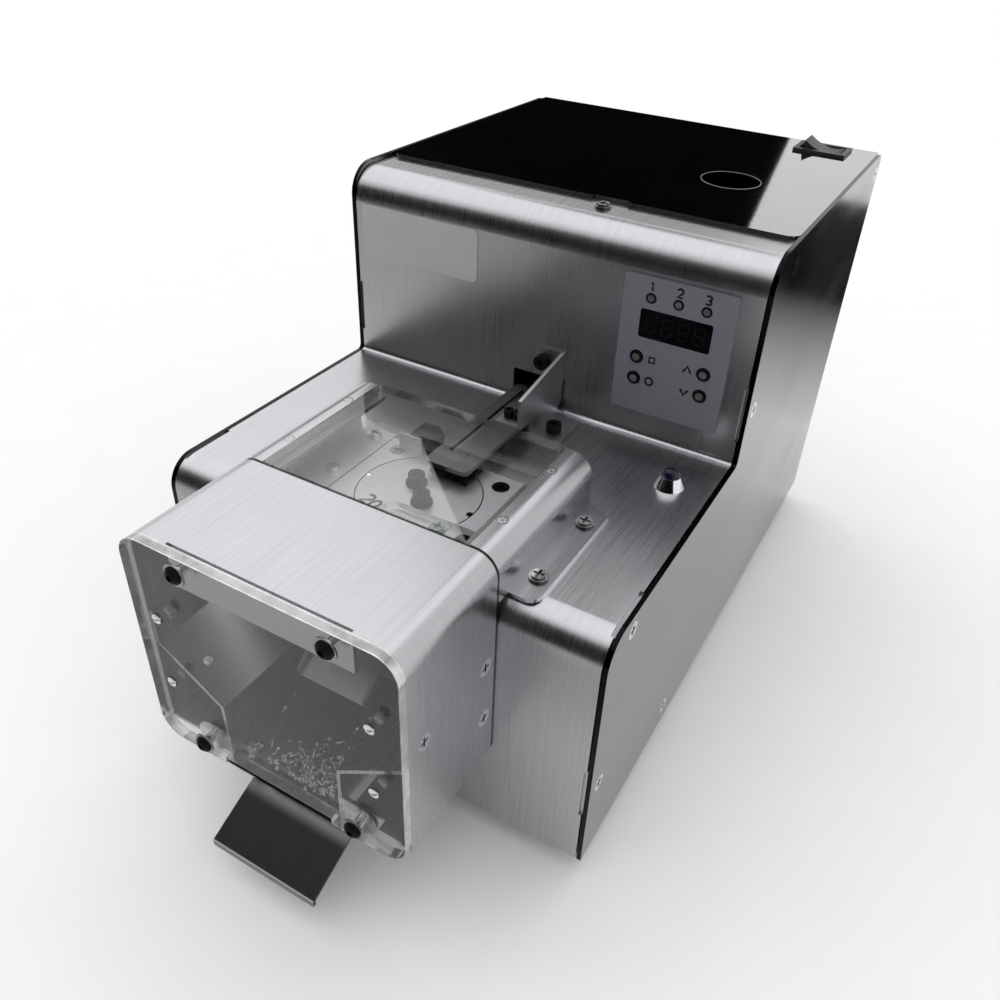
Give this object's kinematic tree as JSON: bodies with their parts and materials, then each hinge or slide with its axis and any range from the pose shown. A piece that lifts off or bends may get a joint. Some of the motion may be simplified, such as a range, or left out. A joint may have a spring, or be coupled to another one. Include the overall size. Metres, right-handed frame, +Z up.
{
  "type": "screw counting machine",
  "caption": "Benchtop screw counter with a stepped steel body, vibrating feed rail, index disc under a clear lid, and a windowed collector box with a sprung discharge gate.",
  "frame": {"origin": "centre of the bounding box at the underside of the feet", "axes": "+X to the right seen from the front, +Y from the discharge lip to the back panel, +Z up"},
  "size_m": [0.16, 0.309, 0.1783],
  "materials": {
    "brushed_sheet": "brushed stainless sheet, grain along each face",
    "satin_sheet": "smooth satin stainless sheet, nearly mirror-like",
    "inner_sheet": "plain mill-finish stainless sheet",
    "dark_sheet": "dark satin sheet",
    "bright_steel": "turned or ground bright steel",
    "chrome": "bright plated",
    "black_steel": "black oxide steel",
    "clear_plastic": "clear acrylic with a faint green edge",
    "black_plastic": "black moulded plastic",
    "black_gloss": "black glossy window",
    "grey_plastic": "grey moulded plastic",
    "panel_film": "lilac grey anodised plate",
    "lamp": "dark violet lens, unlit",
    "led": "small indicator lens, unlit",
    "bristle": "black nylon bristles",
    "rubber": "black rubber",
    "board": "green circuit board",
    "motor": "black motor housing",
    "copper": "enamelled copper winding",
    "spring_steel": "blued spring steel"
  },
  "bodies": {
    "machine": {"base_plate": "inner_sheet", "feet": "rubber", "side_panel_left": "satin_sheet", "side_panel_right": "satin_sheet", "body_wrap": "brushed_sheet", "back_panel": "satin_sheet", "top_cover": "satin_sheet", "countersunk_screws": "chrome", "pan_screws": "chrome", "collector_box": "brushed_sheet", "collector_window": "clear_plastic", "window_screws": "black_steel", "window_washers": "bright_steel", "left_guide": "inner_sheet", "right_guide": "inner_sheet", "gate_pin": "bright_steel", "drop_slide": "inner_sheet", "disc_cover": "brushed_sheet", "lid_ledges": "inner_sheet", "disc_plate": "bright_steel", "side_plate": "bright_steel", "disc_guard": "clear_plastic", "plate_screws": "bright_steel", "hold_down": "inner_sheet", "brush": "bristle", "arm_bracket": "inner_sheet", "bracket_screws": "black_steel", "sensor_block": "black_plastic", "sensor_bracket": "bright_steel", "leaf_springs": "spring_steel", "vibrator_base": "motor", "vibrator_coil": "copper", "index_motor": "motor", "motor_bracket": "inner_sheet", "count_sensor": "black_plastic", "storage_bin": "inner_sheet", "wheel_plate": "inner_sheet", "lift_motor": "motor", "control_plate": "panel_film", "display_window": "black_gloss", "status_leds": "led", "display_board": "board", "rocker_bezel": "black_plastic", "led_bezel": "chrome", "led_lens": "lamp", "power_inlet": "black_plastic", "control_board": "board"},
    "index": {"index_disc": "bright_steel", "disc_hub": "bright_steel", "disc_screws": "black_steel"},
    "lifter": {"lift_wheel": "bright_steel", "wheel_shaft": "bright_steel"},
    "feed_rail": {"rail": "bright_steel"},
    "set_key": {"set_button": "grey_plastic"},
    "ok_key": {"ok_button": "grey_plastic"},
    "up_key": {"up_button": "grey_plastic"},
    "down_key": {"down_button": "grey_plastic"},
    "switch_paddle": {"rocker": "black_plastic"},
    "lid": {"disc_lid": "clear_plastic"},
    "gate": {"discharge_gate": "dark_sheet"}
  },
  "joints": [
    {"name": "index_spin", "type": "hinge", "parent": "machine", "child": "index", "pos_m": [0, -0.0685, 0.103], "axis": [0, 0, 1], "continuous": true},
    {"name": "wheel_spin", "type": "hinge", "parent": "machine", "child": "lifter", "pos_m": [0, 0.0895, 0.112], "axis": [0, 1, 0], "continuous": true},
    {"name": "rail_shake", "type": "slide", "parent": "machine", "child": "feed_rail", "axis": [0, 1, 0], "range_m": [-0.0004, 0.0004], "stiffness_N_per_m": 2000},
    {"name": "set_press", "type": "slide", "parent": "machine", "child": "set_key", "axis": [0, 1, 0], "range_m": [0, 0.0008], "stiffness_N_per_m": 400, "springref_m": -0.0008},
    {"name": "ok_press", "type": "slide", "parent": "machine", "child": "ok_key", "axis": [0, 1, 0], "range_m": [0, 0.0008], "stiffness_N_per_m": 400, "springref_m": -0.0008},
    {"name": "up_press", "type": "slide", "parent": "machine", "child": "up_key", "axis": [0, 1, 0], "range_m": [0, 0.0008], "stiffness_N_per_m": 400, "springref_m": -0.0008},
    {"name": "down_press", "type": "slide", "parent": "machine", "child": "down_key", "axis": [0, 1, 0], "range_m": [0, 0.0008], "stiffness_N_per_m": 400, "springref_m": -0.0008},
    {"name": "switch_rock", "type": "hinge", "parent": "machine", "child": "switch_paddle", "pos_m": [0.058, 0.1425, 0.1725], "axis": [0, 1, 0], "range_deg": [-24, 0]},
    {"name": "lid_lift", "type": "slide", "parent": "machine", "child": "lid", "axis": [0, 0, 1], "range_m": [0, 0.06]},
    {"name": "gate_swing", "type": "hinge", "parent": "machine", "child": "gate", "pos_m": [0, -0.1015, 0.044], "axis": [1, 0, 0], "range_deg": [0, 8], "stiffness_Nm_per_rad": 0.2, "springref_deg": -20.05}
  ]
}
